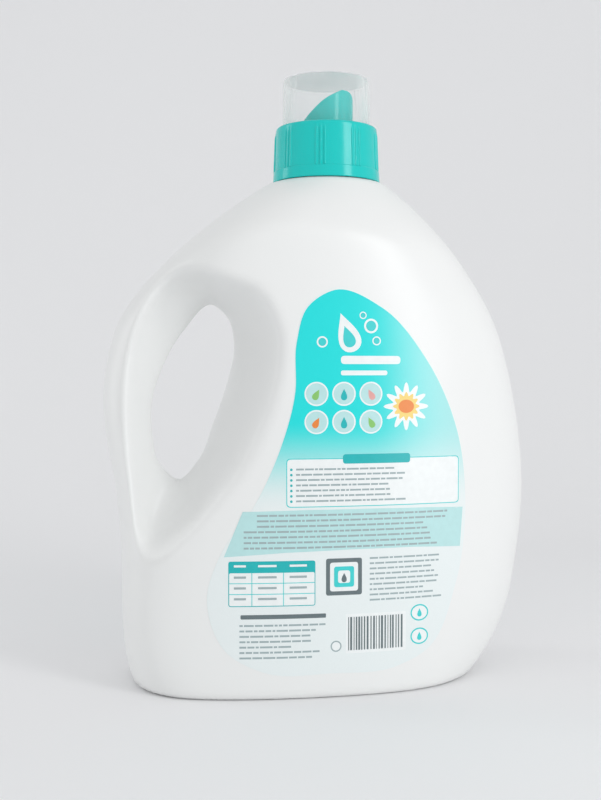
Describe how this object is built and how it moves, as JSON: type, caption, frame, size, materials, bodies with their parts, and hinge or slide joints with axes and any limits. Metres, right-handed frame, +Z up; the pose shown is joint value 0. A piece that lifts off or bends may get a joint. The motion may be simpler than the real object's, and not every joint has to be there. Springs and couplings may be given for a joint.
{
  "type": "laundry detergent bottle",
  "caption": "Flat blow-moulded jug with a through handle, ribbed screw collar, slanted pouring insert, clear measuring cup and wrapped labels.",
  "frame": {"origin": "middle of the bottle's box on the surface it stands on", "axes": "+Z up along the neck, X along the width with the handle at -X and the spout's lip at +X, Y through the thickness"},
  "size_m": [0.2144, 0.1062, 0.299],
  "materials": {
    "white_hdpe": "satin, blow moulded",
    "label_film": "printed gloss film",
    "teal_pp": "gloss, injection moulded",
    "seal_foam": "matt closed-cell foam",
    "clear_pp": "clear gloss, injection moulded"
  },
  "bodies": {
    "bottle": {"bottle": "white_hdpe", "back_label": "label_film", "front_label": "label_film", "collar": "teal_pp", "pour_spout": "teal_pp"},
    "seal": {"cup_seal": "seal_foam"},
    "cup": {"measuring_cup": "clear_pp"}
  },
  "joints": [
    {"name": "cup_lift", "type": "slide", "parent": "bottle", "child": "seal", "axis": [0, 0, 1], "range_m": [0, 0.06]},
    {"name": "cup_twist", "type": "hinge", "parent": "seal", "child": "cup", "pos_m": [0.0047, 0, 0.264], "axis": [0, 0, 1], "range_deg": [0, 360]}
  ]
}
